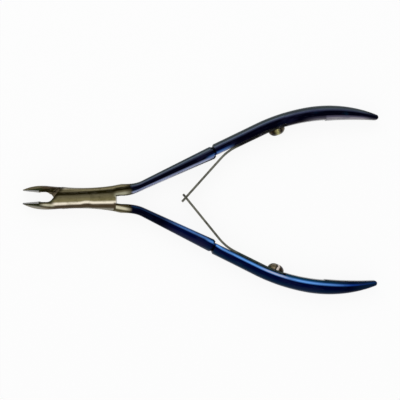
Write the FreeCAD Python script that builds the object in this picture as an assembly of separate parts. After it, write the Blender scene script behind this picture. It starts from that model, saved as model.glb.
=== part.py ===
import FreeCAD, Part
import math
import os

# Fine nippers with a riveted lap joint and two interlocking leaf springs, in millimetres.
# The pivot axis is +Z through the origin, on the face the tool lies on. The handles run towards +X,
# the jaws towards -X. The model stands open: closing turns each arm by half of opening_angle.

# Joint
joint_thickness = 6.4
lap_gap = 0.04
opening_angle = 11.0
seam_reach = 9.65
seam_angle = 52.0
seam_clearance = 0.15
shoulder_reach = 10.2
shoulder_gap = 0.05
front_half_width = 3.72
waist_half_width = 3.25
back_half_width = 3.7
back_corner = 0.9
back_swell = 0.3
jaw_shoulder = 1.2
root_shoulder = 1.2
seam_top_step = 0.2
low_edge_round = 1.9
high_edge_round = 1.0

# Rivet
rivet_radius = 1.5
rivet_head_radius = 2.2
rivet_head_depth = 0.7
rivet_clearance = 0.03

# Jaws
tip_reach = 19.8
blade_length = 5.4
blade_gap = 0.01
tip_width = 0.35
heel_notch = 0.3
heel_step = 0.19
throat_radius = 2.4
jaw_crown = 0.6
slope_crown = 0.45
tip_top = 2.6
tip_bottom = 0.5
jaw_slope_start = 9.2
edge_land = 0.5
blade_relief = 0.9
jaw_shift = 0.25  # the upper arm's jaw reaches this far over the middle, the lower arm's stops short of it

# Root, where an arm leaves the joint
root_reach = 12.4
root_outer = 4.6
root_flat = 0.6
root_gap = 0.11
crotch_gap = 0.12
root_shift = 0.45  # the upper arm's root is this much fuller on its inner side, the lower arm's slimmer

# Handle, along its centre line from the neck's start
neck_x = 17.0
neck_y = 3.49
neck_first_place = 2.0
handle_angle = 25.93
straight_length = 42.2
palm_radius = 57.2
handle_length = 80.9
neck_thickness = 2.65
neck_width = 5.2
neck_round = 1.1
waist_place = 26.7
waist_thickness = 4.15
waist_depth = 0.4
waist_half_length = 0.7
neck_inset = 0.2  # how far the neck has moved inwards of the grip's middle at the waist
grip_width = 6.4
grip_outer_round = 1.9
grip_inner_round = 1.1
palm_place = 60.0
palm_thickness = 4.8
tail_thickness = 1.6
tail_width = 4.6
tail_chamfer = 0.5
tail_taper = 2.3  # higher keeps the tail thick for longer
round_limit = 0.45

# Leaf springs
leaf_thickness = 0.72
leaf_width = 4.2
leaf_tip_width = 3.6
leaf_offset = 1.78
leaf_bend_place = 34.0
leaf_bend_radius = 16.0
seat_bend_radius = 3.0
seat_end_gap = 0.15
foot_end = 3.4
foot_corner = 1.2
cross_x = 32.3
cross_y = 0.44
fork_reach = 1.8
catch_neck_width = 1.4
slot_side_gap = 0.25
slot_end_gap = 0.58
catch_gap = 0.42
catch_length = 0.6
catch_overhang = 0.55
seat_end_place = 64.5
seat_shallow = 2.1

# Spring screws
screw_place = 48.0
screw_head_radius = 2.65
screw_head_height = 1.7
screw_head_rim = 0.35
screw_radius = 1.3
screw_depth = 2.5
screw_hole_clearance = 0.15
driver_slot_width = 0.8
driver_slot_depth = 0.7

# What follows from them
middle = joint_thickness / 2
half_opening = opening_angle / 2
throat_half_gap = (tip_reach - blade_length) * math.sin(math.radians(half_opening)) + heel_step
root_inner = root_reach * math.tan(math.radians(half_opening)) + root_gap
crotch_inner = shoulder_reach * math.tan(math.radians(half_opening)) + crotch_gap
slot_width = catch_neck_width + 2 * slot_side_gap
slot_root = leaf_thickness / 2 + slot_end_gap
catch_start = leaf_thickness / 2 + catch_gap
catch_width = slot_width + 2 * catch_overhang
seat_flat_half = foot_end + seat_end_gap
cut_margin = 5.0
cut_reach = 7.0


def vec(x, y, z=0.0):
    return FreeCAD.Vector(x, y, z)


def heading(angle, length=1.0):
    return vec(length * math.cos(math.radians(angle)), length * math.sin(math.radians(angle)))


def turned(point, angle):
    return FreeCAD.Rotation(vec(0, 0, 1), angle).multVec(point)


def chain(points):
    return [Part.LineSegment(a, b).toShape() for a, b in zip(points, points[1:])]


def prism(edges, low, high):
    face = Part.Face(Part.Wire(edges))
    face.translate(vec(0, 0, low))
    return face.extrude(vec(0, 0, high - low))


def polygon_prism(points, low, high):
    return prism(chain(points + points[:1]), low, high)


# Centre line of a handle


def handle_place(s):
    """Point on the centre line and its direction in degrees, s along it from the neck's start."""
    start = vec(neck_x, neck_y)
    if s <= straight_length:
        return start + heading(handle_angle, s), handle_angle
    bend_start = start + heading(handle_angle, straight_length)
    centre = bend_start + heading(handle_angle - 90, palm_radius)
    angle = handle_angle - math.degrees((s - straight_length) / palm_radius)
    return centre + heading(angle + 90, palm_radius), angle


def beside(s, offset):
    """Point at offset to the left of the centre line; a negative offset is the inner side."""
    point, angle = handle_place(s)
    return point + heading(angle + 90, offset)


def thickness_at(s):
    if s <= waist_place:
        return neck_thickness + (waist_thickness - neck_thickness) * s / waist_place
    if s <= palm_place:
        share = (s - waist_place) / (palm_place - waist_place)
        return waist_thickness + (palm_thickness - waist_thickness) * share ** 2
    share = (s - palm_place) / (handle_length - palm_place)
    return palm_thickness - (palm_thickness - tail_thickness) * share ** tail_taper


def width_at(s):
    if s <= palm_place:
        return grip_width
    share = (s - palm_place) / (handle_length - palm_place)
    return grip_width - (grip_width - tail_width) * share ** 2


def rounded_section(centre, angle, outer, inner, width, outer_round, inner_round):
    """Closed outline across a handle: outer and inner are its depths each side of the centre line."""
    across = heading(angle + 90)
    up = vec(0, 0, 1)
    half = width / 2
    largest_round = round_limit * min(outer + inner, width)
    outer_round = min(outer_round, largest_round)
    inner_round = min(inner_round, largest_round)

    def at(a, b):
        return centre + vec(0, 0, middle) + across * a + up * b

    diagonal = 1 - math.sqrt(0.5)
    edges = []
    corners = [
        (outer, half, outer_round),
        (-inner, half, inner_round),
        (-inner, -half, inner_round),
        (outer, -half, outer_round),
    ]
    rounds = []
    for a, b, r in corners:
        side_a = math.copysign(1, a)
        side_b = math.copysign(1, b)
        on_side = at(a, b - side_b * r)
        on_face = at(a - side_a * r, b)
        bulge = at(a - side_a * r * diagonal, b - side_b * r * diagonal)
        rounds.append((on_side, bulge, on_face) if a * b > 0 else (on_face, bulge, on_side))
    for number, (first, bulge, last) in enumerate(rounds):
        edges.append(Part.Arc(first, bulge, last).toShape())
        edges.append(Part.LineSegment(last, rounds[(number + 1) % 4][0]).toShape())
    return Part.Wire(edges)


def neck_section(s, shrink=0.0):
    angle = handle_place(s)[1]
    point = beside(s, -neck_inset * s / waist_place)
    half = thickness_at(s) / 2 - shrink
    width = neck_width - 2 * shrink
    return rounded_section(point, angle, half, half, width, neck_round, neck_round)


def grip_section(s, shrink=0.0):
    point, angle = handle_place(s)
    half = thickness_at(s) / 2 - shrink
    width = width_at(s) - 2 * shrink
    return rounded_section(point, angle, half, half, width, grip_outer_round, grip_inner_round)


def root_section(side):
    inner = root_inner - side * root_shift
    centre = vec(root_reach, (root_outer + inner) / 2)
    half = (root_outer - inner) / 2
    return rounded_section(centre, 0.0, half, half, joint_thickness, high_edge_round, high_edge_round)


def spread(start, end, steps):
    return [start + (end - start) * n / steps for n in range(steps + 1)]


def handle(side):
    waist_front = waist_place - waist_half_length
    waist_back = waist_place + waist_half_length
    neck_sections = [neck_section(s) for s in spread(neck_first_place, waist_front, 3)]
    neck = Part.makeLoft([root_section(side)] + neck_sections, True, False)
    waist = neck_section(waist_place, waist_depth)
    waist_in = Part.makeLoft([neck_section(waist_front), waist], True, True)
    waist_out = Part.makeLoft([waist, grip_section(waist_back)], True, True)
    grip = Part.makeLoft([grip_section(s) for s in spread(waist_back, palm_place, 5)], True, False)
    palm = Part.makeLoft([grip_section(s) for s in spread(palm_place, handle_length, 4)], True, False)
    tail_sections = [grip_section(handle_length), grip_section(handle_length + tail_chamfer, tail_chamfer)]
    tail = Part.makeLoft(tail_sections, True, True)
    return neck.multiFuse([waist_in, waist_out, grip, palm, tail])


# Joint, jaw and root, cut from one outline


def blade_point(reach, shift):
    return heading(180 + half_opening, reach) + heading(half_opening - 90, blade_gap - shift)


def seam_point(y):
    return vec(y / math.tan(math.radians(seam_angle)) - seam_reach, y)


def throat_edges(heel_end, seam_top):
    """From the blade's heel along the throat and up the seam, with one round between them."""
    corner = seam_point(heel_end.y)
    tangent = throat_radius * math.tan(math.radians(seam_angle / 2))
    arc_start = corner - vec(tangent, 0)
    arc_end = corner + heading(seam_angle, tangent)
    centre = arc_start + vec(0, throat_radius)
    bulge = centre + heading(seam_angle / 2 - 90, throat_radius)
    throat = Part.Arc(arc_start, bulge, arc_end).toShape()
    return chain([heel_end, arc_start]) + [throat] + chain([arc_end, seam_top])


def front_outline(side):
    """An arm from jaw to root, seen along the pivot; side is 1 for the upper arm and -1 for the lower."""
    shift = side * jaw_shift
    tip_inner = blade_point(tip_reach, shift)
    heel = blade_point(tip_reach - blade_length, shift)
    heel_end = vec(heel.x + heel_notch, shift - throat_half_gap)
    tip_outer = tip_inner + vec(0, -tip_width)
    jaw_back = vec(-(seam_reach + jaw_shoulder), -front_half_width)
    jaw_bulge = (tip_outer + jaw_back) * 0.5 + vec(0, -jaw_crown)
    lower_back = vec(shoulder_reach - back_corner, -back_half_width)
    back_end = vec(shoulder_reach, -back_half_width + back_corner)
    crotch = vec(shoulder_reach, crotch_inner - side * root_shift)
    inner = root_inner - side * root_shift
    root_low = [vec(root_reach - root_flat, inner), vec(root_reach, inner)]
    root_high = [vec(root_reach, root_outer), vec(root_reach - root_flat, root_outer)]
    back_high = vec(shoulder_reach - root_shoulder, back_half_width + back_swell)
    seam_top = seam_point(front_half_width - seam_top_step)
    jaw = chain([heel, tip_inner, tip_outer])
    jaw.append(Part.Arc(tip_outer, jaw_bulge, jaw_back).toShape())
    lower = [Part.Arc(jaw_back, vec(0, -waist_half_width), lower_back).toShape()]
    back = chain([lower_back, back_end, crotch] + root_low + root_high + [back_high])
    upper = [Part.Arc(back_high, vec(0, waist_half_width), seam_top).toShape()]
    inside = throat_edges(heel_end, seam_top) + chain([heel_end, heel])
    return Part.Wire(Part.__sortEdges__(jaw + lower + back + upper + inside))


def side_cut():
    """What the jaws lose above and below as they thin towards the tips, seen from the side."""
    far = -(tip_reach + cut_margin)
    top = joint_thickness + cut_margin
    slope_start = vec(-jaw_slope_start, 0, joint_thickness)
    tip_high = vec(-tip_reach, 0, tip_top)
    over = [vec(-jaw_slope_start, 0, top), vec(far, 0, top), vec(far, 0, tip_top)]
    above = chain([slope_start] + over + [tip_high])
    bulge = (slope_start + tip_high) * 0.5 + vec(0, 0, slope_crown)
    above.append(Part.Arc(tip_high, bulge, slope_start).toShape())
    low_tip = vec(-tip_reach, 0, tip_bottom)
    low_start = vec(-jaw_slope_start, 0, 0)
    under = [vec(far, 0, tip_bottom), vec(far, 0, -cut_margin), vec(-jaw_slope_start, 0, -cut_margin)]
    below = chain([low_start, low_tip] + under + [low_start])
    span = vec(0, 4 * cut_margin, 0)
    cuts = []
    for edges in (above, below):
        face = Part.Face(Part.Wire(edges))
        face.translate(span * -0.5)
        cuts.append(face.extrude(span))
    return cuts


def blade_relief_cut(side):
    """The slope above the cutting edge, so that only a narrow land meets the other blade."""
    edge = side * jaw_shift
    land_top = tip_bottom + edge_land
    heel_reach = tip_reach - blade_length
    profile = [
        vec(-heel_reach, edge, land_top),
        vec(-heel_reach, edge - blade_relief, joint_thickness),
        vec(-heel_reach, cut_margin, joint_thickness),
        vec(-heel_reach, cut_margin, land_top),
    ]
    face = Part.Face(Part.Wire(chain(profile + profile[:1])))
    cut = face.extrude(vec(-(blade_length + cut_margin), 0, 0))
    cut.rotate(vec(0, 0, 0), vec(0, 0, 1), half_opening)
    return cut


def lap_cut(side, low, high):
    """The layer that the other arm's plate takes, with room for it to turn to the closed position."""
    line_angle = opening_angle - seam_angle
    anchor = turned(vec(-seam_reach, 0), opening_angle) + heading(line_angle - 90, seam_clearance)
    upper_end = anchor - heading(line_angle, cut_reach)
    lower_end = anchor + heading(line_angle, cut_reach)
    turn = math.radians(opening_angle)
    corner_shift = (crotch_inner - side * root_shift) * math.sin(turn)
    closed_x = (shoulder_reach + shoulder_gap - corner_shift) / math.cos(turn)
    shoulder_x = max(shoulder_reach + shoulder_gap, closed_x)
    points = [
        upper_end,
        lower_end,
        vec(shoulder_x, lower_end.y),
        vec(shoulder_x, cut_reach),
        vec(upper_end.x, cut_reach),
    ]
    return polygon_prism(points, low, high)


def rivet_shape(clearance):
    """Shank with a countersunk head at each end, ground flush; clearance widens it into its hole."""
    shank = rivet_radius + clearance
    head = rivet_head_radius + clearance
    top = joint_thickness
    profile = [
        vec(0, 0, 0),
        vec(head, 0, 0),
        vec(shank, 0, rivet_head_depth),
        vec(shank, 0, top - rivet_head_depth),
        vec(head, 0, top),
        vec(0, 0, top),
    ]
    face = Part.Face(Part.Wire(chain(profile + profile[:1])))
    return face.revolve(vec(0, 0, 0), vec(0, 0, 1), 360)


def edges_along(shape, places, tolerance=0.01):
    """The edges that pass through the given points."""
    found = []
    for edge in shape.Edges:
        if any(edge.distToShape(Part.Vertex(place))[0] < tolerance for place in places):
            found.append(edge)
    return found


def front_block(side):
    """Jaw, plate and root at the joint's full thickness, with their long edges rounded."""
    block = Part.Face(front_outline(side)).extrude(vec(0, 0, joint_thickness))
    inner = root_inner - side * root_shift
    crotch = vec(shoulder_reach, crotch_inner - side * root_shift)
    root_start = vec(root_reach - root_flat, root_outer)
    back_high = vec(shoulder_reach - root_shoulder, back_half_width + back_swell)
    high_middles = [
        vec(0, waist_half_width),
        (back_high + root_start) * 0.5,
        root_start + vec(root_flat / 2, 0),
        vec(root_reach - root_flat / 2, inner),
        (crotch + vec(root_reach - root_flat, inner)) * 0.5,
    ]
    for radius, middles in ((low_edge_round, [vec(0, -waist_half_width)]), (high_edge_round, high_middles)):
        places = [place + vec(0, 0, z) for place in middles for z in (0, joint_thickness)]
        block = block.makeFillet(radius, edges_along(block, places))
    return block


# Leaf springs


def left_arc(point, angle, turn, radius):
    """Middle, end and new direction of an arc that turns left from a point."""
    centre = point + heading(angle + 90, radius)
    bulge = centre + heading(angle + turn / 2 - 90, radius)
    end = centre + heading(angle + turn - 90, radius)
    return bulge, end, angle + turn


def crossing_of(point_a, angle_a, point_b, angle_b):
    across = heading(angle_b + 90)
    return point_a + heading(angle_a, (point_b - point_a).dot(across) / heading(angle_a).dot(across))


def leaf_stations(side):
    """Points and directions along a leaf from its screwed end to the crossing; arcs carry a middle point."""
    screw_point, screw_angle = handle_place(screw_place)
    screw_point = beside(screw_place, -leaf_offset)
    bend_point = beside(leaf_bend_place, -leaf_offset)
    corner = crossing_of(screw_point, screw_angle, bend_point, handle_angle)
    seat_turn = handle_angle - screw_angle
    tangent = seat_bend_radius * math.tan(math.radians(seat_turn / 2))
    foot = screw_point + heading(screw_angle, foot_end)
    first = corner + heading(screw_angle, tangent)
    first_middle, first_end, direction = left_arc(first, screw_angle + 180, seat_turn, seat_bend_radius)
    centre = bend_point + heading(direction + 90, leaf_bend_radius)
    crossing = vec(cross_x, side * cross_y)
    reach = crossing - centre
    to_crossing = math.degrees(math.atan2(reach.y, reach.x)) % 360
    leave = to_crossing - math.degrees(math.acos(leaf_bend_radius / reach.Length))
    turn = leave + 90 - direction
    second_middle, second_end, free_angle = left_arc(bend_point, direction, turn, leaf_bend_radius)
    return [
        (foot, screw_angle + 180, None),
        (first, screw_angle + 180, (first_middle, screw_angle + 180 + seat_turn / 2)),
        (first_end, direction, None),
        (bend_point, direction, (second_middle, direction + turn / 2)),
        (second_end, free_angle, None),
        (crossing, free_angle, None),
    ]


def leaf_side(stations, offset):
    """One face of the leaf seen along the pivot, at offset to the left of its middle line."""
    edges = []
    for (point, angle, bulge), (next_point, next_angle, _) in zip(stations, stations[1:]):
        start = point + heading(angle + 90, offset)
        end = next_point + heading(next_angle + 90, offset)
        if bulge is None:
            edges.append(Part.LineSegment(start, end).toShape())
        else:
            edges.append(Part.Arc(start, bulge[0] + heading(bulge[1] + 90, offset), end).toShape())
    return edges


def across_leaf(crossing, angle, points):
    """A cutter through a leaf's tip, from points given as distance past the crossing and height."""
    origin = crossing + heading(angle + 90, -cut_margin) + vec(0, 0, middle)
    outline = [origin + heading(angle, a) + vec(0, 0, b) for a, b in points]
    face = Part.Face(Part.Wire(chain(outline + outline[:1])))
    return face.extrude(heading(angle + 90, 2 * cut_margin))


def box_across(crossing, angle, start, end, low, high):
    return across_leaf(crossing, angle, [(start, low), (end, low), (end, high), (start, high)])


def leaf_blank(side, past_crossing):
    stations = leaf_stations(side)
    crossing, angle, _ = stations[-1]
    stations[-1] = (crossing + heading(angle, past_crossing), angle, None)
    half = leaf_thickness / 2
    one = leaf_side(stations, half)
    other = leaf_side(stations, -half)
    ends = [
        Part.LineSegment(one[0].Vertexes[0].Point, other[0].Vertexes[0].Point).toShape(),
        Part.LineSegment(one[-1].Vertexes[-1].Point, other[-1].Vertexes[-1].Point).toShape(),
    ]
    outline = Part.Wire(Part.__sortEdges__(one + other + ends))
    face = Part.Face(outline)
    face.translate(vec(0, 0, middle - leaf_width / 2))
    leaf = face.extrude(vec(0, 0, leaf_width))
    free_length = (stations[-2][0] - crossing).Length
    for sign in (1, -1):
        wide = sign * leaf_width / 2
        narrow = sign * leaf_tip_width / 2
        outside = sign * leaf_width
        end = past_crossing + cut_margin
        taper = [(-free_length, wide), (past_crossing, narrow), (end, narrow)]
        beyond = [(end, outside), (-free_length, outside)]
        leaf = leaf.cut(across_leaf(crossing, angle, taper + beyond))
    hole = screw_axis_cylinder(screw_radius + screw_hole_clearance, -leaf_thickness, leaf_thickness)
    leaf = leaf.cut(hole)
    return round_foot(leaf, stations[0][0]), crossing, angle


def round_foot(leaf, foot):
    """Rounds the two corners of the screwed end."""
    corners = []
    for edge in leaf.Edges:
        level = abs(edge.Vertexes[0].Z - edge.Vertexes[-1].Z) < 0.01
        through = abs(edge.Length - leaf_thickness) < 0.01
        if level and through and (edge.CenterOfMass - foot).Length < leaf_width:
            corners.append(edge)
    return leaf.makeFillet(foot_corner, corners)


def upper_spring():
    leaf, crossing, angle = leaf_blank(1, fork_reach)
    slot = box_across(crossing, angle, -slot_root, 2 * fork_reach, -slot_width / 2, slot_width / 2)
    return leaf.cut(slot)


def lower_spring():
    leaf, crossing, angle = leaf_blank(-1, catch_start + catch_length)
    for sign in (1, -1):
        low, high = sorted((sign * catch_neck_width / 2, sign * leaf_width))
        leaf = leaf.cut(box_across(crossing, angle, -slot_root, catch_start, low, high))
        low, high = sorted((sign * catch_width / 2, sign * leaf_width))
        leaf = leaf.cut(box_across(crossing, angle, 0, catch_start + 2 * catch_length, low, high))
    return mirrored(leaf)


# Spring screws


def screw_axis_cylinder(radius, start, end):
    """Cylinder about the spring screw's axis; distances run inwards from the leaf's middle line."""
    angle = handle_place(screw_place)[1]
    base = beside(screw_place, -leaf_offset) + vec(0, 0, middle)
    inward = heading(angle - 90)
    return Part.makeCylinder(radius, end - start, base + inward * start, inward)


def spring_screw():
    face_level = leaf_thickness / 2
    angle = handle_place(screw_place)[1]
    rim_top = screw_head_rim
    dome = screw_head_height - rim_top
    profile = [vec(0, 0, 0), vec(screw_head_radius, 0, 0), vec(screw_head_radius, 0, rim_top)]
    edges = chain(profile)
    top = vec(0, 0, screw_head_height)
    bulge = vec(screw_head_radius * math.sqrt(0.5), 0, rim_top + dome * math.sqrt(0.5))
    edges.append(Part.Arc(profile[-1], bulge, top).toShape())
    edges += chain([top, profile[0]])
    head = Part.Face(Part.Wire(edges)).revolve(vec(0, 0, 0), vec(0, 0, 1), 360)
    slot = Part.makeBox(4 * screw_head_radius, driver_slot_width, 2 * driver_slot_depth)
    slot_floor = screw_head_height - driver_slot_depth
    slot.translate(vec(-2 * screw_head_radius, -driver_slot_width / 2, slot_floor))
    head = head.cut(slot)
    place = beside(screw_place, -leaf_offset) + heading(angle - 90, face_level) + vec(0, 0, middle)
    head.Placement = FreeCAD.Placement(place, FreeCAD.Rotation(vec(0, 0, 1), heading(angle - 90)))
    shank = screw_axis_cylinder(screw_radius, -face_level - screw_depth, face_level)
    return head.fuse(shank).removeSplitter()


# Arms


def seat_cut():
    """The milled seat on the grip's inner side: flats under leaf and screw, then a shallow run out."""
    floor = leaf_offset - leaf_thickness / 2
    screw_angle = handle_place(screw_place)[1]
    start = waist_place
    screw_floor = beside(screw_place, -floor)
    start_floor = beside(start, -floor)
    corner = crossing_of(screw_floor, screw_angle, start_floor, handle_angle)
    flat_end = screw_floor + heading(screw_angle, seat_flat_half)
    run_start = screw_place + seat_flat_half
    run_middle = (run_start + seat_end_place) / 2
    edges = chain([start_floor, corner, flat_end, beside(run_start, -seat_shallow)])
    arc = [beside(s, -seat_shallow) for s in (run_start, run_middle, seat_end_place)]
    edges.append(Part.Arc(*arc).toShape())
    edges += chain([arc[-1], beside(seat_end_place, -cut_margin), beside(start, -cut_margin), start_floor])
    return prism(edges, -cut_margin, joint_thickness + cut_margin)


def mirrored(shape):
    return shape.mirror(vec(0, 0, 0), vec(0, 1, 0))


def arm(side, lap_low, lap_high, hole):
    """An arm with its handle on the +Y side and its jaw on the -Y side."""
    front = front_block(side)
    for cut in side_cut() + [blade_relief_cut(side), lap_cut(side, lap_low, lap_high)]:
        front = front.cut(cut)
    screw_hole = screw_axis_cylinder(screw_radius, -leaf_thickness / 2 - screw_depth, 0)
    body = front.fuse(handle(side))
    for cut in (seat_cut(), screw_hole, hole):
        body = body.cut(cut)
    return body.removeSplitter()


def upper_arm():
    return arm(1, -cut_margin, middle + lap_gap / 2, rivet_shape(rivet_clearance))


def lower_arm():
    return mirrored(arm(-1, middle - lap_gap / 2, joint_thickness + cut_margin, rivet_shape(0)))


def write(name, shape):
    if shape.ShapeType != "Solid":
        shape = shape.Solids[0] if len(shape.Solids) == 1 else shape
    print(name, shape.ShapeType, len(shape.Solids), round(shape.Volume, 2), shape.isValid())
    shape.exportStep("parts/" + name + ".step")


def leaf_hinge(side):
    """Where a leaf flexes, taken as the end of its bend."""
    point = leaf_stations(side)[4][0]
    return round(point.x, 3), round(side * point.y, 3)


os.makedirs("parts", exist_ok=True)
print("upper leaf flexes about", leaf_hinge(1), "lower leaf about", leaf_hinge(-1))
write("upper_arm", upper_arm())
write("lower_arm", lower_arm())
write("pivot_rivet", rivet_shape(0))
write("upper_spring", upper_spring())
write("lower_spring", lower_spring())
write("upper_spring_screw", spring_screw())
write("lower_spring_screw", mirrored(spring_screw()))
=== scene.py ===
import bpy
import bmesh
import math
from mathutils import Matrix, Vector


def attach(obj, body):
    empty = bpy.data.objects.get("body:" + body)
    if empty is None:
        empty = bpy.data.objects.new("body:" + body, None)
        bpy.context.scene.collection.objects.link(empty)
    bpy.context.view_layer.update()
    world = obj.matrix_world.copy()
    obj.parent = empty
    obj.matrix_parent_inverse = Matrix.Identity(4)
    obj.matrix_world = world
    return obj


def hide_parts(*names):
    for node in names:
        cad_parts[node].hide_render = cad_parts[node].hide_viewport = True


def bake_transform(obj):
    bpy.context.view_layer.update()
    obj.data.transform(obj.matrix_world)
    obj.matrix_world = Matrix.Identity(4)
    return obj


# Sprue nippers: two blue-coated arms on a riveted lap joint, held open by two crossed leaf springs

mm = 0.001
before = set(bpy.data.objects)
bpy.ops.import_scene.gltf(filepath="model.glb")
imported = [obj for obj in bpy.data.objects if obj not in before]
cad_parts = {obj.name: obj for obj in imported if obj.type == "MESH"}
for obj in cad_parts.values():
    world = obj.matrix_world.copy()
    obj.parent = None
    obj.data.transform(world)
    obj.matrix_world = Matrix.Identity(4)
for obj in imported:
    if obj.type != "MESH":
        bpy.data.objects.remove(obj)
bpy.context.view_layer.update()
middle = 3.2  # height of the middle plane, mm
mergeGap = 0.0005  # mm, points nearer than this are one
flatAngle = 0.6  # degrees, faces flatter than this are joined
print("frame loaded,", len(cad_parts), "nodes")


def heading(angle, length=1.0):
    return Vector((length * math.cos(math.radians(angle)), length * math.sin(math.radians(angle)), 0))


def tint(code):
    # a colour written as it looks on screen, made linear for the shader
    parts = [int(code[i : i + 2], 16) / 255 for i in (1, 3, 5)]
    return [c / 12.92 if c <= 0.04045 else ((c + 0.055) / 1.055) ** 2.4 for c in parts] + [1.0]


# centre line of a handle, in mm, shared by the arm, its spring and its screw
handleLine = {
    "neckX": 17.0, "neckY": 3.49, "angle": 25.93, "straight": 42.2, "palmRadius": 57.2, "length": 80.9,
}


def handlePlace(s):
    line = handleLine
    start = Vector((line["neckX"], line["neckY"], 0))
    if s <= line["straight"]:
        return start + heading(line["angle"], s), line["angle"]
    centre = start + heading(line["angle"], line["straight"]) + heading(line["angle"] - 90, line["palmRadius"])
    angle = line["angle"] - math.degrees((s - line["straight"]) / line["palmRadius"])
    return centre + heading(angle + 90, line["palmRadius"]), angle


def beside(s, offset):
    point, angle = handlePlace(s)
    return point + heading(angle + 90, offset)


def newPiece(name, bm, materials, body, node):
    bmesh.ops.recalc_face_normals(bm, faces=bm.faces)
    mesh = bpy.data.meshes.new(name)
    bm.to_mesh(mesh)
    bm.free()
    for material in materials:
        mesh.materials.append(material)
    piece = bpy.data.objects.new(name, mesh)
    bpy.context.scene.collection.objects.link(piece)
    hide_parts(node)
    if body:
        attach(piece, body)
    return piece


def dissolveFlats(bm):
    # the frame's flat faces come as loose triangles
    bmesh.ops.dissolve_limit(bm, angle_limit=math.radians(flatAngle), verts=bm.verts, edges=bm.edges,
                             delimit={"NORMAL"})


def smoothByAngle(bm, limit=32):
    for face in bm.faces:
        face.smooth = True
    for edge in bm.edges:
        if len(edge.link_faces) == 2 and edge.calc_face_angle(0) > math.radians(limit):
            edge.smooth = False


# arms
armShape = {
    "rootX": 12.4, "rootOuter": 4.6, "rootInner": 1.304, "rootShift": 0.45, "rootRound": 1.0, "firstNeck": 2.0,
    "neckThick": 2.65, "neckWidth": 5.2, "neckRound": 1.1, "neckInset": 0.2,
    "waist": 26.7, "waistHalf": 0.7, "waistDepth": 0.4, "waistThick": 4.15,
    "gripWidth": 6.4, "outerRound": 1.9, "innerRound": 1.1, "palm": 60.0, "palmThick": 4.8,
    "tailThick": 1.6, "tailWidth": 4.6, "tailChamfer": 0.5, "tailTaper": 2.3,
    "seatDepth": 1.42, "screwPlace": 48.0, "seatFlat": 3.55, "shallowDepth": 2.1, "shallowEnd": 64.5,
    "cornerSteps": 8, "step": 1.2, "rootSteps": 7, "rootStart": 0.03, "stepGap": 0.02, "endGap": 0.05,
    "leastRound": 0.25, "roundLoss": 1.6, "roundShare": 0.45, "tailMiddle": (0.6, 0.35),
}


def thicknessAt(s):
    a = armShape
    if s <= a["waist"]:
        return a["neckThick"] + (a["waistThick"] - a["neckThick"]) * s / a["waist"]
    if s <= a["palm"]:
        share = (s - a["waist"]) / (a["palm"] - a["waist"])
        return a["waistThick"] + (a["palmThick"] - a["waistThick"]) * share**2
    share = (s - a["palm"]) / (handleLine["length"] - a["palm"])
    return a["palmThick"] - (a["palmThick"] - a["tailThick"]) * share ** a["tailTaper"]


def widthAt(s):
    a = armShape
    if s <= a["palm"]:
        return a["gripWidth"]
    share = (s - a["palm"]) / (handleLine["length"] - a["palm"])
    return a["gripWidth"] - (a["gripWidth"] - a["tailWidth"]) * share**2


def seatDepthAt(s):
    # depth of the leaf's seat below the centre line: two flats that meet in a shallow valley
    a = armShape
    point, angle = handlePlace(s)
    across = heading(angle + 90)
    depths = []
    screwAngle = handlePlace(a["screwPlace"])[1]
    for place, direction in ((a["waist"], handleLine["angle"]), (a["screwPlace"], screwAngle)):
        floor = beside(place, -a["seatDepth"])
        normal = heading(direction + 90)
        depths.append((point - floor).dot(normal) / across.dot(normal))
    return max(depths)


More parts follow.
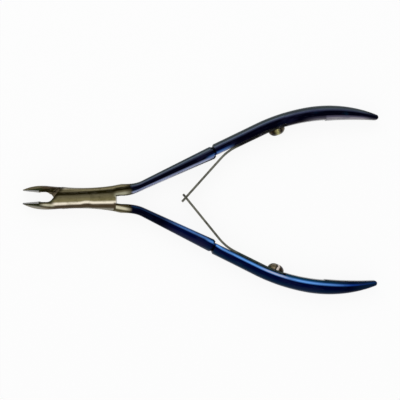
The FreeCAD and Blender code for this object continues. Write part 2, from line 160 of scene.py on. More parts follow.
def stations(side):
    # every section of the handle from root to tail: place, direction, depths each side, half width, rounds
    a = armShape
    rings = []
    rootInner = a["rootInner"] - side * a["rootShift"]
    start = Vector((a["rootX"], (a["rootOuter"] + rootInner) / 2, 0))
    endAngle = handlePlace(a["firstNeck"])[1]
    end = beside(a["firstNeck"], -a["neckInset"] * a["firstNeck"] / a["waist"])
    reach = (end - start).length
    rootHalf = (a["rootOuter"] - rootInner) / 2
    neckHalf = thicknessAt(a["firstNeck"]) / 2
    for n in range(a["rootSteps"]):
        t = a["rootStart"] + (1 - a["rootStart"]) * n / a["rootSteps"]
        point = (2 * t**3 - 3 * t**2 + 1) * start + (t**3 - 2 * t**2 + t) * reach * heading(0)
        point += (3 * t**2 - 2 * t**3) * end + (t**3 - t**2) * reach * heading(endAngle)
        slope = (6 * t**2 - 6 * t) * start + (3 * t**2 - 4 * t + 1) * reach * heading(0)
        slope += (6 * t - 6 * t**2) * end + (3 * t**2 - 2 * t) * reach * heading(endAngle)
        share = 3 * t**2 - 2 * t**3
        half = rootHalf + (neckHalf - rootHalf) * share
        width = middle + (a["neckWidth"] / 2 - middle) * share
        bend = a["rootRound"] + (a["neckRound"] - a["rootRound"]) * share
        along = a["rootX"] - handleLine["neckX"] + (a["firstNeck"] - a["rootX"] + handleLine["neckX"]) * t
        angle = math.degrees(math.atan2(slope.y, slope.x))
        rings.append((point, angle, half, half, width, bend, bend, along, half))

    def add(s, kind, shrink=0.0, inner=None):
        angle = handlePlace(s)[1]
        point = beside(s, -a["neckInset"] * s / a["waist"] if kind == "neck" else 0)
        half = thicknessAt(s) / 2 - shrink
        width = (a["neckWidth"] if kind == "neck" else widthAt(s)) / 2 - shrink
        outerBend = a["neckRound"] if kind == "neck" else a["outerRound"]
        innerBend = a["neckRound"] if kind == "neck" else a["innerRound"]
        depth = half if inner is None else min(inner, half)
        cut = half - depth
        innerBend = max(a["leastRound"], innerBend - a["roundLoss"] * cut)
        largest = a["roundShare"] * min(half + depth, 2 * width)
        outerBend, innerBend = min(outerBend, largest), min(innerBend, largest)
        rings.append((point, angle, half, depth, width, outerBend, innerBend, s, half))

    def run(first, last, kind, floor=None):
        count = max(1, round((last - first) / a["step"]))
        for n in range(count + 1):
            s = first + (last - first) * n / count
            add(s, kind, 0.0, floor(s) if floor else None)

    waistFront = a["waist"] - a["waistHalf"]
    waistBack = a["waist"] + a["waistHalf"]
    seatEnd = a["screwPlace"] + a["seatFlat"]
    run(a["firstNeck"], waistFront, "neck")
    add(a["waist"], "neck", a["waistDepth"])
    add(a["waist"] + a["stepGap"], "neck", a["waistDepth"], a["seatDepth"] - a["neckInset"])
    run(waistBack, seatEnd, "grip", seatDepthAt)
    run(seatEnd + a["stepGap"], a["shallowEnd"], "grip", lambda s: a["shallowDepth"])
    run(a["shallowEnd"] + a["endGap"], handleLine["length"], "grip")
    reach, shrink = (a["tailChamfer"] * share for share in a["tailMiddle"])
    add(handleLine["length"] + reach, "grip", shrink)
    add(handleLine["length"] + a["tailChamfer"], "grip", a["tailChamfer"])
    return rings


def addRing(bm, ring, along, across):
    # one rounded rectangle across the handle, as a loop of edges
    point, angle, outer, inner, width, outerBend, innerBend, s, full = ring
    oldEdges = set(bm.edges)
    oldVerts = set(bm.verts)
    places = ((outer, width), (-inner, width), (-inner, -width), (outer, -width))
    corners = [bm.verts.new((x, y, 0)) for x, y in places]
    bm.faces.new(corners)
    for pair, bend in (((0, 3), outerBend), ((1, 2), innerBend)):
        bmesh.ops.bevel(bm, geom=[corners[n] for n in pair], offset=bend, offset_type="OFFSET",
                        segments=armShape["cornerSteps"], profile=0.5, material=-1, affect="VERTICES",
                        clamp_overlap=False)
    verts = [v for v in bm.verts if v not in oldVerts]
    for v in verts:
        v[along] = s
        v[across] = (outer - v.co.x) / (2 * full) if full else 0
    turn = Matrix.Rotation(math.radians(angle + 90), 4, "Z") @ Matrix.Rotation(math.radians(90), 4, "X")
    bmesh.ops.transform(bm, matrix=Matrix.Translation(point + Vector((0, 0, middle))) @ turn, verts=verts)
    edges = [e for e in bm.edges if e not in oldEdges]
    ringVerts = set(verts)
    inside = [f for f in bm.faces if all(v in ringVerts for v in f.verts)]
    bmesh.ops.delete(bm, geom=inside, context="FACES_ONLY")
    return edges


def makeArm(name, node, body, side, material):
    bm = bmesh.new()
    bm.from_mesh(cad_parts[node].data)
    bmesh.ops.scale(bm, vec=(1 / mm, side / mm, 1 / mm), verts=bm.verts)
    bmesh.ops.remove_doubles(bm, verts=bm.verts, dist=mergeGap)
    bmesh.ops.bisect_plane(bm, geom=bm.verts[:] + bm.edges[:] + bm.faces[:], dist=mergeGap,
                           plane_co=(armShape["rootX"], 0, 0), plane_no=(1, 0, 0), clear_outer=True)
    dissolveFlats(bm)
    along = bm.verts.layers.float.new("along")
    across = bm.verts.layers.float.new("across")
    for v in bm.verts:
        v[along] = v.co.x - handleLine["neckX"]
        v[across] = (armShape["rootOuter"] - v.co.y) / (armShape["rootOuter"] - armShape["rootInner"])
    loop = [e for e in bm.edges if e.is_boundary]
    for ring in stations(side):
        edges = addRing(bm, ring, along, across)
        bmesh.ops.bridge_loops(bm, edges=loop + edges)
        loop = edges
    bmesh.ops.holes_fill(bm, edges=loop, sides=0)
    bmesh.ops.scale(bm, vec=(mm, side * mm, mm), verts=bm.verts)
    smoothByAngle(bm)
    return newPiece(name, bm, [material], body, node)


# leaf springs
leafShape = {
    "thick": 0.72, "wide": 4.2, "tipWide": 3.6, "offset": 1.78, "bendPlace": 34.0, "bendRadius": 16.0,
    "seatRadius": 3.0, "footEnd": 3.4, "footRound": 1.2, "crossX": 32.3, "crossY": 0.44, "forkReach": 1.8,
    "neckWide": 1.4, "slotSideGap": 0.25, "slotEndGap": 0.58, "catchGap": 0.42, "catchLong": 0.6,
    "catchOver": 0.55, "edgeBreak": 0.06, "rimAngle": 60, "step": 0.7, "runOn": 5.0, "blendReach": 5.0,
    "blendLean": 8.0,
}


def leafPath(side):
    # runs of the leaf's middle line, foot to crossing: start, direction, length, radius of a left turn or None
    a = leafShape
    screwPoint, screwAngle = handlePlace(armShape["screwPlace"])
    screwPoint = beside(armShape["screwPlace"], -a["offset"])
    bendPoint = beside(a["bendPlace"], -a["offset"])
    normal = heading(handleLine["angle"] + 90)
    toCorner = (bendPoint - screwPoint).dot(normal) / heading(screwAngle).dot(normal)
    corner = screwPoint + heading(screwAngle, toCorner)
    seatTurn = handleLine["angle"] - screwAngle
    tangent = a["seatRadius"] * math.tan(math.radians(seatTurn / 2))
    foot = screwPoint + heading(screwAngle, a["footEnd"])
    first = corner + heading(screwAngle, tangent)
    firstEnd = corner - heading(handleLine["angle"], tangent)
    centre = bendPoint + heading(handleLine["angle"] + 270, a["bendRadius"])
    crossing = Vector((a["crossX"], side * a["crossY"], 0))
    reach = crossing - centre
    leave = math.degrees(math.atan2(reach.y, reach.x)) % 360
    leave -= math.degrees(math.acos(a["bendRadius"] / reach.length))
    turn = leave + 90 - (handleLine["angle"] + 180)
    bendEnd = centre + heading(leave, a["bendRadius"])
    runs = [
        (foot, screwAngle + 180, (first - foot).length, None),
        (first, screwAngle + 180, math.radians(seatTurn) * a["seatRadius"], a["seatRadius"]),
        (firstEnd, handleLine["angle"] + 180, (bendPoint - firstEnd).length, None),
        (bendPoint, handleLine["angle"] + 180, math.radians(turn) * a["bendRadius"], a["bendRadius"]),
        (bendEnd, leave + 90, (crossing - bendEnd).length + a["runOn"], None),
    ]
    return runs, sum(r[2] for r in runs) - a["runOn"]


def leafPoint(runs, s):
    for start, angle, length, radius in runs:
        if s <= length or start == runs[-1][0]:
            if radius is None:
                return start + heading(angle, s), angle
            turned = math.degrees(s / radius)
            return start + heading(angle + 90, radius) + heading(angle + turned - 90, radius), angle + turned
        s -= length


def makeLeaf(name, node, side, material):
    a = leafShape
    runs, toCrossing = leafPath(side)
    half = a["wide"] / 2
    tip = a["tipWide"] / 2
    slot = a["neckWide"] / 2 + a["slotSideGap"]
    rootGap = a["thick"] / 2 + a["slotEndGap"]
    freeStart = toCrossing - (runs[-1][2] - a["runOn"])
    if side > 0:  # forked tip
        end = toCrossing + a["forkReach"]
        edge = [(0, half), (freeStart, half), (end, tip), (end, slot), (toCrossing - rootGap, slot)]
    else:  # narrow neck with a wider catch behind it
        catch = toCrossing + a["thick"] / 2 + a["catchGap"]
        end = catch + a["catchLong"]
        neck = a["neckWide"] / 2
        neckStart = toCrossing - rootGap
        shoulder = half + (tip - half) * (neckStart - freeStart) / (end - freeStart)
        ear = slot + a["catchOver"]
        edge = [(0, half), (freeStart, half), (neckStart, shoulder), (neckStart, neck), (catch, neck),
                (catch, ear),
                (end, ear)]
    bm = bmesh.new()
    verts = [bm.verts.new((s, w, -a["thick"] / 2)) for s, w in edge]
    verts += [bm.verts.new((s, -w, -a["thick"] / 2)) for s, w in reversed(edge)]
    bm.faces.new(verts)
    feet = [v for v in verts if v.co.x < 0.01]
    bmesh.ops.bevel(bm, geom=feet, offset=a["footRound"], offset_type="OFFSET", segments=8, profile=0.5,
                    material=-1, affect="VERTICES", clamp_overlap=False)
    sheet = bmesh.ops.extrude_face_region(bm, geom=bm.faces[:])
    raised = [v for v in sheet["geom"] if isinstance(v, bmesh.types.BMVert)]
    bmesh.ops.translate(bm, vec=(0, 0, a["thick"]), verts=raised)
    bmesh.ops.recalc_face_normals(bm, faces=bm.faces)
    rims = [e for e in bm.edges if e.calc_face_angle(0) > math.radians(a["rimAngle"])]
    bmesh.ops.bevel(bm, geom=rims, offset=a["edgeBreak"], offset_type="OFFSET", segments=2, profile=0.5,
                    material=-1, affect="EDGES", clamp_overlap=True)
    count = int(end / a["step"])
    for n in range(1, count + 1):
        bmesh.ops.bisect_plane(bm, geom=bm.verts[:] + bm.edges[:] + bm.faces[:], dist=0.0001,
                               plane_co=(end * n / (count + 1), 0, 0), plane_no=(1, 0, 0))
    smoothByAngle(bm)
    lengthwise = bm.verts.layers.float.new("along")
    sideways = bm.verts.layers.float.new("across")
    for v in bm.verts:  # bend the flat blank along its path
        v[lengthwise] = v.co.x
        v[sideways] = v.co.y
        point, angle = leafPoint(runs, v.co.x)
        v.co = point + heading(angle + 90, v.co.z) + Vector((0, 0, middle + v.co.y))
    bmesh.ops.scale(bm, vec=(mm, side * mm, mm), verts=bm.verts)
    piece = newPiece(name, bm, [material], None, node)
    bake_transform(piece)
    return piece


# screws and rivet, from the frame's own shapes with clean shading
def cleanCopy(name, node, body, material):
    bm = bmesh.new()
    bm.from_mesh(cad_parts[node].data)
    bmesh.ops.scale(bm, vec=(1 / mm,) * 3, verts=bm.verts)
    bmesh.ops.remove_doubles(bm, verts=bm.verts, dist=mergeGap)
    dissolveFlats(bm)
    smoothByAngle(bm)
    bmesh.ops.scale(bm, vec=(mm,) * 3, verts=bm.verts)
    return newPiece(name, bm, [material], body, node)


# materials
def newMaterial(name):
    material = bpy.data.materials.new(name)
    material.use_nodes = True
    tree = material.node_tree
    shader = tree.nodes["Principled BSDF"]
    return material, tree, shader


def addNode(tree, kind, **settings):
    made = tree.nodes.new(kind)
    for key, value in settings.items():
        setattr(made, key, value)
    return made


def maths(tree, operation, *values):
    made = addNode(tree, "ShaderNodeMath", operation=operation)
    for n, value in enumerate(values):
        if isinstance(value, (int, float)):
            made.inputs[n].default_value = value
        else:
            tree.links.new(value, made.inputs[n])
    return made.outputs[0]


def plus(tree, first, second):
    return maths(tree, "ADD", first, second)


def minus(tree, first, second):
    return maths(tree, "SUBTRACT", first, second)


def times(tree, first, second):
    return maths(tree, "MULTIPLY", first, second)


def over(tree, first, second):
    return maths(tree, "DIVIDE", first, second)


def ramp(tree, source, stops):
    made = addNode(tree, "ShaderNodeValToRGB")
    made.color_ramp.interpolation = "EASE"
    elements = made.color_ramp.elements
    while len(elements) < len(stops):
        elements.new(0.5)
    for element, (place, code) in zip(elements, stops):
        element.position = place
        element.color = tint(tones.get(code, code))
    tree.links.new(source, made.inputs[0])
    return made.outputs[0]


def span(tree, source, start, end, low=0.0, high=1.0):
    made = addNode(tree, "ShaderNodeMapRange", interpolation_type="SMOOTHSTEP")
    tree.links.new(source, made.inputs["Value"])
    for key, value in (("From Min", start), ("From Max", end), ("To Min", low), ("To Max", high)):
        made.inputs[key].default_value = value
    return made.outputs["Result"]


def mix(tree, factor, first, second, kind="MIX"):
    made = addNode(tree, "ShaderNodeMix", data_type="RGBA", blend_type=kind)
    for socket, value in ((made.inputs[0], factor), (made.inputs[6], first), (made.inputs[7], second)):
        if isinstance(value, (int, float)):
            socket.default_value = value
        elif isinstance(value, str):
            socket.default_value = tint(tones.get(value, value))
        else:
            tree.links.new(value, socket)
    return made.outputs[2]


def band(tree, source, rise, fall):
    # one between the two slopes, nothing outside them
    return times(tree, span(tree, source, *rise), span(tree, source, *fall))


def deepen(tree, share, colour, tone):
    # the colour multiplied by a tone, as far as the share goes; used for painted shade and for stains
    return mix(tree, share, colour, mix(tree, 1.0, colour, tone, "MULTIPLY"))


def attribute(tree, name):
    return addNode(tree, "ShaderNodeAttribute", attribute_name=name).outputs["Fac"]


def noise(tree, vector, scale, detail=2.0, roughness=0.5):
    made = addNode(tree, "ShaderNodeTexNoise")
    made.inputs["Scale"].default_value = scale
    made.inputs["Detail"].default_value = detail
    made.inputs["Roughness"].default_value = roughness
    tree.links.new(vector, made.inputs["Vector"])
    return made.outputs["Fac"]


def stretched(tree, vector, scale):
    made = addNode(tree, "ShaderNodeMapping")
    made.inputs["Scale"].default_value = scale
    tree.links.new(vector, made.inputs["Vector"])
    return made.outputs["Vector"]


# tones for the bare worn steel at the front and the dark heat-blued coat on the handles; most of them serve the
# painted reflection, highlight and shade bands below
tones = {
    "deep": "#181404", "shade": "#38321c", "olive": "#5c5640", "litOlive": "#78704e", "glint": "#f4ead6",
    "buff": "#c8c2a8", "brown": "#443828", "umber": "#645a48", "edge": "#8c887c", "grey": "#9c9a84",
    "moss": "#242a14", "ink": "#02020e", "night": "#00062c", "harbour": "#0c2038", "denim": "#40649c",
    "royal": "#4478c0", "sky": "#6ca8e8", "teal": "#06304a", "pine": "#1c2c2c", "plum": "#1c1c38",
    "slate": "#3e4652", "pewter": "#363e3c", "dusk": "#282c40", "haze": "#7c86a8", "mist": "#acb0c4",
    "smoke": "#4c485c", "soot": "#28242a", "black": "#140c0a", "bone": "#c8bcb4", "brass": "#a4a06c",
    "pearl": "#8c8890", "cobalt": "#1c3c74", "leaf": "#4e4e46", "leafPale": "#6a6a60",
}
# each list paints bands of reflection, highlight and shade across the surface, outer edge first
jointPaint = [(0.0, "edge"), (0.06, "olive"), (0.15, "olive"), (0.21, "deep"), (0.28, "deep"),
              (0.4, "olive"), (0.58, "litOlive"), (0.69, "glint"), (0.79, "brown"), (0.9, "brown"),
              (1.0, "edge")]
rootPaint = {
    "upper": [(0.0, "edge"), (0.08, "olive"), (0.18, "olive"), (0.27, "deep"), (0.47, "deep"),
              (0.6, "olive"), (0.78, "grey"), (1.0, "grey")],
    "lower": [(0.0, "edge"), (0.12, "olive"), (0.22, "shade"), (0.3, "olive"), (0.45, "buff"),
              (0.56, "buff"), (0.66, "grey"), (0.72, "brown"), (0.84, "shade"), (1.0, "shade")],
}
jawPaint = {
    "upper": [(0.0, "moss"), (0.14, "shade"), (0.24, "olive"), (0.42, "buff"), (0.56, "grey"),
              (0.67, "brown"), (0.84, "umber"), (1.0, "edge")],
    "lower": [(0.0, "umber"), (0.14, "deep"), (0.5, "deep"), (0.75, "brown"), (1.0, "brown")],
}
tipPaint = {
    "upper": [(0.0, "moss"), (0.3, "deep"), (0.6, "moss"), (1.0, "edge")],
    "lower": [(0.0, "olive"), (0.25, "deep"), (0.5, "moss"), (0.8, "moss"), (1.0, "olive")],
}
# painted reflection bands across the handles' coat, with the lower handle's painted highlight streak (royal,
# sky)
gripPaint = {
    "lower": [(0.0, "slate"), (0.14, "harbour"), (0.4, "night"), (0.57, "night"), (0.64, "royal"),
              (0.69, "sky"), (0.74, "royal"), (0.82, "teal"), (1.0, "pine")],
    "lowerNeck": [(0.0, "slate"), (0.2, "plum"), (0.5, "night"), (0.68, "night"), (0.82, "denim"),
                  (1.0, "denim")],
    "upper": [(0.0, "slate"), (0.1, "pewter"), (0.24, "slate"), (0.31, "dusk"), (0.42, "ink"),
              (0.76, "ink"), (1.0, "soot")],
}
# paler painted reflections along the upper handle's inner edge
innerPaint = {
    "neck": [(0.0, "ink"), (0.7, "ink"), (0.83, "haze"), (0.92, "mist"), (1.0, "mist")],
    "waist": [(0.0, "night"), (0.6, "night"), (0.74, "denim"), (0.84, "haze"), (1.0, "teal")],
    "tail": [(0.0, "ink"), (0.66, "ink"), (0.78, "smoke"), (0.9, "pearl"), (1.0, "pearl")],
}

surface = {
    "linesRough": 0.16, "blotchRough": 0.10, "roughMean": 0.13, "blotchScale": 260.0, "bumpStrength": 0.35,
    "armRough": 0.3, "armBump": 0.00002, "armLines": (0.35, 3.8, 3.8),
    "leafRough": 0.36, "leafBump": 0.00001, "leafLines": (2500.0, 2500.0, 500.0),
    "screwRough": 0.3, "screwBump": 0.00001, "screwLines": (900.0, 900.0, 900.0),
    "rivetRough": 0.3, "rivetBump": 0.00002, "rivetLines": (350.0, 3800.0, 3800.0),
    "rivetGlint": (0.45, 0.8), "glintShare": 0.1,
}


def grain(tree, place, shader, baseRoughness, bumpHeight, scale, flow=None):
    # fine grinding marks along the tool, and the soft blotches of a handled finish
    lines = noise(tree, stretched(tree, flow or place, scale), 1.0, 3.0, 0.6)
    blotch = noise(tree, place, surface["blotchScale"], 2.0, 0.5)
    rough = plus(tree, times(tree, lines, surface["linesRough"]), times(tree, blotch, surface["blotchRough"]))
    tree.links.new(plus(tree, rough, baseRoughness - surface["roughMean"]), shader.inputs["Roughness"])
    bump = addNode(tree, "ShaderNodeBump")
    bump.inputs["Strength"].default_value = surface["bumpStrength"]
    bump.inputs["Distance"].default_value = bumpHeight
    tree.links.new(lines, bump.inputs["Height"])
    tree.links.new(bump.outputs["Normal"], shader.inputs["Normal"])
    return lines


def partsOf(tree, side):
    # object position, and x and y in mm in the piece's own mirrored frame
    place = addNode(tree, "ShaderNodeTexCoord").outputs["Object"]
    parts = addNode(tree, "ShaderNodeSeparateXYZ")
    tree.links.new(place, parts.inputs[0])
    x = maths(tree, "MULTIPLY", parts.outputs["X"], 1 / mm)
    y = maths(tree, "MULTIPLY", parts.outputs["Y"], side / mm)
    return place, x, y, parts.outputs["Z"]


def line(tree, value, slope, start):
    return plus(tree, times(tree, value, slope), start)


# joint and jaws, in mm from the pivot: a slope and a start for a line, two places for a fade
frontPlaces = {
    "plateHigh": (0.0045, 3.25), "plateLow": (0.0036, 3.3),
    "bumpRise": (-1.4, 0.6, 0.0, 0.24), "bumpFall": (3.2, 1.2),
    "ridgeLine": (-0.04, 0.27), "ridgeFade": (0.8, -0.9), "grooveLine": (-0.06, 0.0), "grooveFade": (-0.2, 1.0),
    "jawInner": {"upper": 0.65, "lower": 1.1}, "jawInnerSlope": -0.05, "jawOuter": (0.17, 5.6),
    "jawStart": {"upper": -8.7, "lower": -5.6}, "jawFade": 1.8, "tip": (-12.0, -14.5),
    "seamX": (9.35, 9.75), "seamY": (-1.0, -1.7), "seamShadeShare": 0.85,
    "slant": -0.62, "slantLine": (0.79, 7.6), "slantFade": (1.3, 0.2), "slantY": (-1.2, -0.2),
    "rootTop": (0.16, 2.6), "rootDepth": {"upper": 3.75, "lower": 2.85}, "rootX": (9.2, 10.6),
    "rootLow": {"upper": 0.5, "lower": 1.4}, "rootFade": 0.15, "rootBack": (12.8, 15.0, 0.0, 0.75),
    "shoulderX": 8.3, "shoulderY": 2.2, "shoulderFade": (1.5, 0.5, 0.0, 0.8),
}


def plateShare(tree, x, y):
    # 0 at the plate's upper edge, 1 at its lower edge; the painted highlight ridge slants and has a bump by the
    # rivet
    a = frontPlaces
    squared = times(tree, x, x)
    high = line(tree, squared, *a["plateHigh"])
    low = line(tree, squared, *a["plateLow"])
    bump = times(tree, span(tree, x, *a["bumpRise"]), span(tree, x, *a["bumpFall"]))
    ridge = minus(tree, line(tree, x, *a["ridgeLine"]), bump)
    ridge = times(tree, ridge, span(tree, y, *a["ridgeFade"]))
    groove = times(tree, line(tree, x, *a["grooveLine"]), span(tree, y, *a["grooveFade"]))
    moved = plus(tree, y, plus(tree, ridge, groove))
    return over(tree, minus(tree, high, moved), plus(tree, high, low))


def frontSteel(tree, x, y, which):
    # grey-olive steel of the joint, jaw and root, painted with bands of reflection, highlight and shade
    a = frontPlaces
    joint = ramp(tree, plateShare(tree, x, y), jointPaint)
    jawInner = line(tree, x, a["jawInnerSlope"], a["jawInner"][which])
    jawOuter = line(tree, x, *a["jawOuter"])
    jawShare = over(tree, minus(tree, times(tree, y, -1.0), jawInner), minus(tree, jawOuter, jawInner))
    jaw = ramp(tree, jawShare, jawPaint[which])
    jaw = mix(tree, span(tree, x, *a["tip"]), jaw, ramp(tree, jawShare, tipPaint[which]))
    jawStart = a["jawStart"][which]
    front = mix(tree, span(tree, x, jawStart, jawStart - a["jawFade"]), joint, jaw)
    # painted shade in the gap where the plate ends by the root
    seamShade = times(tree, span(tree, x, *a["seamX"]), span(tree, y, *a["seamY"]))
    front = mix(tree, times(tree, seamShade, a["seamShadeShare"]), front, "brown")
    if which == "upper":  # painted shade along the slanting seam by the upper jaw
        slanting = plus(tree, times(tree, y, a["slant"]), line(tree, x, *a["slantLine"]))
        slantShade = times(tree, span(tree, slanting, *a["slantFade"]), span(tree, y, *a["slantY"]))
        front = mix(tree, times(tree, slantShade, a["seamShadeShare"]), front, "deep")
    # painted reflection bands on the root, with painted shade towards the back
    rootShare = over(tree, minus(tree, line(tree, x, *a["rootTop"]), y), a["rootDepth"][which])
    low = a["rootLow"][which]
    onRoot = times(tree, span(tree, x, *a["rootX"]), span(tree, y, low - a["rootFade"], low + a["rootFade"]))
    root = ramp(tree, rootShare, rootPaint[which])
    root = deepen(tree, span(tree, x, *a["rootBack"]), root, "umber")
    steel = mix(tree, onRoot, front, root)
    if which == "lower":  # painted highlight on the ridge where the jaw meets the joint
        awayX = maths(tree, "ABSOLUTE", line(tree, x, 1.0, a["shoulderX"]))
        awayY = maths(tree, "ABSOLUTE", line(tree, y, 1.0, a["shoulderY"]))
        steel = mix(tree, span(tree, plus(tree, awayX, awayY), *a["shoulderFade"]), steel, "umber")
    return steel


# handles: s in mm along the handle, v from 0 at the outer edge to 1 at the inner one
lowerPlaces = {
    "shiftWaist": (26.5, 30.0, -0.07, 0.0), "shiftTail": (64.0, 78.0, 0.0, 0.06),
    "screwRise": (42.0, 47.0), "screwFall": (54.0, 50.5), "screwShare": 0.8,
    "streakRise": (0.62, 0.67), "streakFall": (0.78, 0.73),
    "dimPalm": (58.0, 66.0, 0.0, 0.35), "dimTail": (66.0, 74.0, 0.0, 0.65), "tailEnd": (71.0, 79.0, 0.0, 0.7),
    "neckStart": (15.0, 8.0, 0.0, 0.9), "neckEnd": (23.0, 25.5, 0.0, 0.7), "neck": (27.0, 26.6),
    "grooveShadeShare": 0.5,
}
upperPlaces = {
    "innerHalf": (0.52, 0.6), "neck": (26.5, 25.0), "waistRise": (23.0, 26.0), "waistFall": (34.0, 30.5),
    "tailFade": (56.0, 62.0, 0.0, 0.4), "tailStep": (64.3, 65.0, 0.0, 0.6), "tailEnd": (76.0, 80.0, 0.0, 0.8),
    "innerSide": (0.9, 0.99), "grooveShadeShare": 0.15,
}
coatPlaces = {
    "start": (-2.4, -1.4), "width": 4.5, "side": (1.9, 1.5), "outerSide": (0.12, 0.03),
    "grooveRise": (26.1, 26.5), "grooveFall": (27.4, 27.0),
    "violetScale": (0.16, 0.7, 0.7), "violet": (0.5, 0.72, 0.0, 0.35),
    "tealScale": (0.22, 0.5, 0.5), "teal": (0.55, 0.75, 0.0, 0.3),
    "patchScale": (0.3, 0.9, 0.9), "patch": (0.35, 0.7), "stainScale": 420.0, "stain": (0.45, 0.75, 0.0, 0.45),
    "steelLines": (0.5, 0.8, 0.0, 0.1), "coatLines": (0.55, 0.8, 0.0, 0.04),
}


def lowerCoat(tree, s, v):
    # blue coat with painted reflection bands and a painted highlight streak along its inner half, duller on the
    # neck
    a = lowerPlaces
    shift = plus(tree, span(tree, s, *a["shiftWaist"]), span(tree, s, *a["shiftTail"]))
    coat = ramp(tree, plus(tree, v, shift), gripPaint["lower"])
    onStreak = band(tree, v, a["streakRise"], a["streakFall"])
    # the painted highlight streak turns paler by the screw
    byScrew = times(tree, band(tree, s, a["screwRise"], a["screwFall"]), onStreak)
    coat = mix(tree, times(tree, byScrew, a["screwShare"]), coat, "mist")
    dim = plus(tree, span(tree, s, *a["dimPalm"]), span(tree, s, *a["dimTail"]))
    coat = deepen(tree, dim, coat, "denim")
    coat = mix(tree, span(tree, s, *a["tailEnd"]), coat, "harbour")
    neck = ramp(tree, v, gripPaint["lowerNeck"])
    neck = mix(tree, span(tree, s, *a["neckEnd"]), neck, coat)
    neck = deepen(tree, span(tree, s, *a["neckStart"]), neck, "slate")
    return mix(tree, span(tree, s, *a["neck"]), coat, neck)


def upperCoat(tree, s, v, sideFace):
    # darker coat with painted reflection bands, and paler painted reflections on the inner edge of the neck,
    # waist and tail
    a = upperPlaces
    coat = ramp(tree, v, gripPaint["upper"])
    low = span(tree, v, *a["innerHalf"])
    coat = mix(tree, times(tree, span(tree, s, *a["neck"]), low), coat, ramp(tree, v, innerPaint["neck"]))
    byWaist = band(tree, s, a["waistRise"], a["waistFall"])
    coat = mix(tree, times(tree, byWaist, low), coat, ramp(tree, v, innerPaint["waist"]))
    tail = plus(tree, span(tree, s, *a["tailFade"]), span(tree, s, *a["tailStep"]))
    coat = mix(tree, times(tree, tail, low), coat, ramp(tree, v, innerPaint["tail"]))
    coat = mix(tree, span(tree, s, *a["tailEnd"]), coat, "ink")
    # the inner side face is darkened, so the painted reflections stay off it
    return deepen(tree, times(tree, sideFace, span(tree, v, *a["innerSide"])), coat, "edge")


def armSteel(name, which, side):
    # bare steel in front, then a blue heat-tinted coat on the handle, both with painted reflection, highlight
    # and shade bands
    a = coatPlaces
    material, tree, shader = newMaterial(name)
    shader.inputs["Metallic"].default_value = 1.0
    place, x, y, z = partsOf(tree, side)
    steel = frontSteel(tree, x, y, which)
    v = attribute(tree, "across")
    s = attribute(tree, "along")
    sideFace = span(tree, maths(tree, "ABSOLUTE", line(tree, z, 1 / mm, -middle)), *a["side"])
    coat = lowerCoat(tree, s, v) if which == "lower" else upperCoat(tree, s, v, sideFace)
    # painted shade in the waist groove
    groove = band(tree, s, a["grooveRise"], a["grooveFall"])
    grooveShadeShare = (upperPlaces if which == "upper" else lowerPlaces)["grooveShadeShare"]
    coat = mix(tree, times(tree, groove, grooveShadeShare), coat, "ink")
    joined = addNode(tree, "ShaderNodeCombineXYZ")
    for socket, value in zip(joined.inputs, (s, times(tree, v, a["width"]), times(tree, z, 1 / mm))):
        tree.links.new(value, socket)
    flow = joined.outputs[0]  # runs with the handle, in mm
    violet = noise(tree, stretched(tree, flow, a["violetScale"]), 1.0, 3.0, 0.6)
    coat = mix(tree, span(tree, violet, *a["violet"]), coat, "plum")
    teal = noise(tree, stretched(tree, flow, a["tealScale"]), 1.0, 3.0, 0.6)
    coat = mix(tree, span(tree, teal, *a["teal"]), coat, "teal")
    # the broad outer side of the handle shows the coat's plain blue
    patches = noise(tree, stretched(tree, flow, a["patchScale"]), 1.0, 4.0, 0.6)
    outerSide = mix(tree, span(tree, patches, *a["patch"]), "cobalt", "harbour")
    coat = mix(tree, times(tree, sideFace, span(tree, v, *a["outerSide"])), coat, outerSide)
    lines = grain(tree, place, shader, surface["armRough"], surface["armBump"], surface["armLines"], flow)
    stain = span(tree, noise(tree, place, a["stainScale"], 4.0, 0.65), *a["stain"])
    steel = deepen(tree, stain, steel, "grey")
    steel = mix(tree, span(tree, lines, *a["steelLines"]), steel, "buff")
    coat = mix(tree, span(tree, lines, *a["coatLines"]), coat, "haze")
    tree.links.new(mix(tree, span(tree, s, *a["start"]), steel, coat), shader.inputs["Base Color"])
    return material


leafPlaces = {
    "patchScale": 500.0, "patch": (0.3, 0.7), "glintScale": 900.0, "glint": (0.55, 0.7),
    "seated": (19.0, 15.5, 0.0, 0.85),
}


def springSteel(name, seated):
    # bare grey leaf, with painted shade along the part that lies on its seat and small painted glints there
    a = leafPlaces
    material, tree, shader = newMaterial(name)
    shader.inputs["Metallic"].default_value = 1.0
    place = addNode(tree, "ShaderNodeTexCoord").outputs["Object"]
    s = attribute(tree, "along")
    patch = noise(tree, place, a["patchScale"], 2.0, 0.5)
    colour = mix(tree, span(tree, patch, *a["patch"]), "leaf", "leafPale")
    glint = span(tree, noise(tree, place, a["glintScale"]), *a["glint"])
    colour = mix(tree, span(tree, s, *a["seated"]), colour, mix(tree, glint, seated, "smoke"))
    grain(tree, place, shader, surface["leafRough"], surface["leafBump"], surface["leafLines"])
    tree.links.new(colour, shader.inputs["Base Color"])
    return material


headPlaces = {"radius": 2.65, "raggedScale": 800.0, "ragged": (1.2, -0.6)}


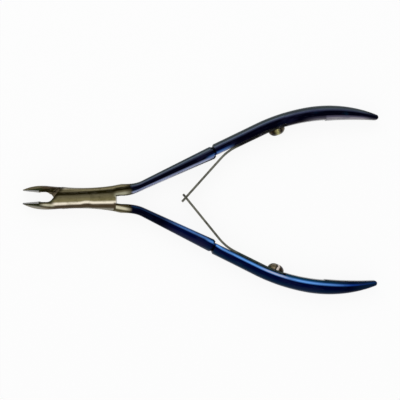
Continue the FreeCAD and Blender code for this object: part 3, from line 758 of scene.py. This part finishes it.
def screwSteel(name, side, stops):
    # painted highlight and shade bands across the head, from the foot's side of the leaf to the waist's
    a = headPlaces
    material, tree, shader = newMaterial(name)
    shader.inputs["Metallic"].default_value = 1.0
    place, x, y, z = partsOf(tree, side)
    centre, angle = handlePlace(armShape["screwPlace"])
    run = heading(angle)
    t = plus(tree, times(tree, x, run.x), times(tree, y, run.y))
    t = plus(tree, t, line(tree, noise(tree, place, a["raggedScale"], 3.0, 0.6), *a["ragged"]))
    along = centre.dot(run)
    colour = ramp(tree, span(tree, t, along - a["radius"], along + a["radius"]), stops)
    grain(tree, place, shader, surface["screwRough"], surface["screwBump"], surface["screwLines"])
    tree.links.new(colour, shader.inputs["Base Color"])
    return material


# each head's painted highlight and shade bands
screwPaint = {
    "upper": [(0.0, "brown"), (0.14, "black"), (0.3, "shade"), (0.4, "litOlive"), (0.5, "brass"),
              (0.66, "olive"), (0.82, "black"), (1.0, "umber")],
    "lower": [(0.0, "shade"), (0.18, "umber"), (0.32, "umber"), (0.48, "black"), (0.6, "bone"),
              (0.68, "bone"), (0.76, "brown"), (0.87, "black"), (1.0, "brown")],
}


def rivetSteel():
    # carries the plate's painted reflection bands on both faces, matching the plate round it
    material, tree, shader = newMaterial("rivetSteel")
    shader.inputs["Metallic"].default_value = 1.0
    place, x, y, z = partsOf(tree, 1)
    up = line(tree, maths(tree, "GREATER_THAN", z, middle * mm), 2.0, -1.0)
    colour = ramp(tree, plateShare(tree, x, times(tree, y, up)), jointPaint)
    lines = grain(tree, place, shader, surface["rivetRough"], surface["rivetBump"], surface["rivetLines"])
    glint = times(tree, span(tree, lines, *surface["rivetGlint"]), surface["glintShare"])
    colour = mix(tree, glint, colour, "buff")
    tree.links.new(colour, shader.inputs["Base Color"])
    return material


makeArm("upperArm", "upper_arm", "upper_arm_body", 1, armSteel("upperArmSteel", "upper", 1))
makeArm("lowerArm", "lower_arm", "lower_arm_body", -1, armSteel("lowerArmSteel", "lower", -1))
print("arms built")
makeLeaf("upperLeaf", "upper_spring", 1, springSteel("upperLeafSteel", "ink"))
makeLeaf("lowerLeaf", "lower_spring", -1, springSteel("lowerLeafSteel", "pine"))
print("leaf springs built")
upperScrewSteel = screwSteel("upperScrewSteel", 1, screwPaint["upper"])
lowerScrewSteel = screwSteel("lowerScrewSteel", -1, screwPaint["lower"])
cleanCopy("upperScrew", "upper_spring_screw", "upper_arm_body", upperScrewSteel)
cleanCopy("lowerScrew", "lower_spring_screw", "lower_arm_body", lowerScrewSteel)
cleanCopy("pivotRivet", "pivot_rivet", "lower_arm_body", rivetSteel())
print("screws and rivet built")


# studio: pale floor, soft light, camera straight above
studio = {
    "floorSize": 2.0, "floorDrop": 0.00005, "floorGrey": 0.9, "floorSeen": 0.9, "white": 1.0, "roomLight": 0.75,
    "aim": (0.04, 0, 0), "keyPlace": (-0.1, 0.35, 0.5), "keySize": 0.35, "keyPower": 0.5,
    "stripPlace": (0.05, 0.25, 0.25), "stripLong": 0.5, "stripWide": 0.04, "stripPower": 0.05,
}
view = {"lens": 130, "sensor": 36, "width": 0.12692, "x": 0.03681, "y": -0.00032, "focus": 0.0045, "roll": 0.42}


def whiteToCamera(tree):
    # camera, glossy and transmission rays see plain white
    path = addNode(tree, "ShaderNodeLightPath")
    seen = maths(tree, "MAXIMUM", path.outputs["Is Camera Ray"], path.outputs["Is Glossy Ray"])
    return maths(tree, "MAXIMUM", seen, path.outputs["Is Transmission Ray"])


def makeFloor():
    material, tree, shader = newMaterial("paleFloor")
    output = tree.nodes["Material Output"]
    tree.nodes.remove(shader)
    matte = addNode(tree, "ShaderNodeBsdfDiffuse")
    matte.inputs["Color"].default_value = (studio["floorGrey"],) * 3 + (1,)
    glow = addNode(tree, "ShaderNodeEmission")
    glow.inputs["Strength"].default_value = studio["white"]
    blend = addNode(tree, "ShaderNodeMixShader")
    seen = times(tree, whiteToCamera(tree), studio["floorSeen"])
    tree.links.new(seen, blend.inputs[0])
    tree.links.new(matte.outputs[0], blend.inputs[1])
    tree.links.new(glow.outputs[0], blend.inputs[2])
    tree.links.new(blend.outputs[0], output.inputs["Surface"])
    bm = bmesh.new()
    bmesh.ops.create_grid(bm, x_segments=1, y_segments=1, size=studio["floorSize"] / 2)
    bmesh.ops.translate(bm, vec=(0, 0, -studio["floorDrop"]), verts=bm.verts)
    mesh = bpy.data.meshes.new("floor")
    bm.to_mesh(mesh)
    bm.free()
    mesh.materials.append(material)
    floor = bpy.data.objects.new("floor", mesh)
    bpy.context.scene.collection.objects.link(floor)


def makeWorld():
    world = bpy.data.worlds.new("room")
    bpy.context.scene.world = world
    world.use_nodes = True
    tree = world.node_tree
    background = tree.nodes["Background"]
    background.inputs["Color"].default_value = (1, 1, 1, 1)
    strength = line(tree, whiteToCamera(tree), studio["white"] - studio["roomLight"], studio["roomLight"])
    tree.links.new(strength, background.inputs["Strength"])


def addLamp(name, place, long, wide, power):
    lamp = bpy.data.lights.new(name, "AREA")
    lamp.energy = power
    lamp.shape = "RECTANGLE"
    lamp.size = long
    lamp.size_y = wide
    holder = bpy.data.objects.new(name, lamp)
    bpy.context.scene.collection.objects.link(holder)
    holder.location = place
    holder.rotation_euler = (Vector(studio["aim"]) - Vector(place)).to_track_quat("-Z", "Y").to_euler()


def addCamera():
    data = bpy.data.cameras.new("overhead")
    data.lens = view["lens"]
    data.sensor_width = view["sensor"]
    data.clip_start = 0.01
    data.clip_end = 10
    camera = bpy.data.objects.new("overhead", data)
    bpy.context.scene.collection.objects.link(camera)
    distance = view["width"] * view["lens"] / view["sensor"]
    camera.location = (view["x"], view["y"], view["focus"] + distance)
    camera.rotation_euler = (0, 0, math.radians(view["roll"]))
    bpy.context.scene.camera = camera


makeFloor()
makeWorld()
addLamp("keyLamp", studio["keyPlace"], studio["keySize"], studio["keySize"], studio["keyPower"])
addLamp("stripLamp", studio["stripPlace"], studio["stripLong"], studio["stripWide"], studio["stripPower"])
addCamera()
bpy.context.scene.view_settings.view_transform = "Standard"
print("studio ready")
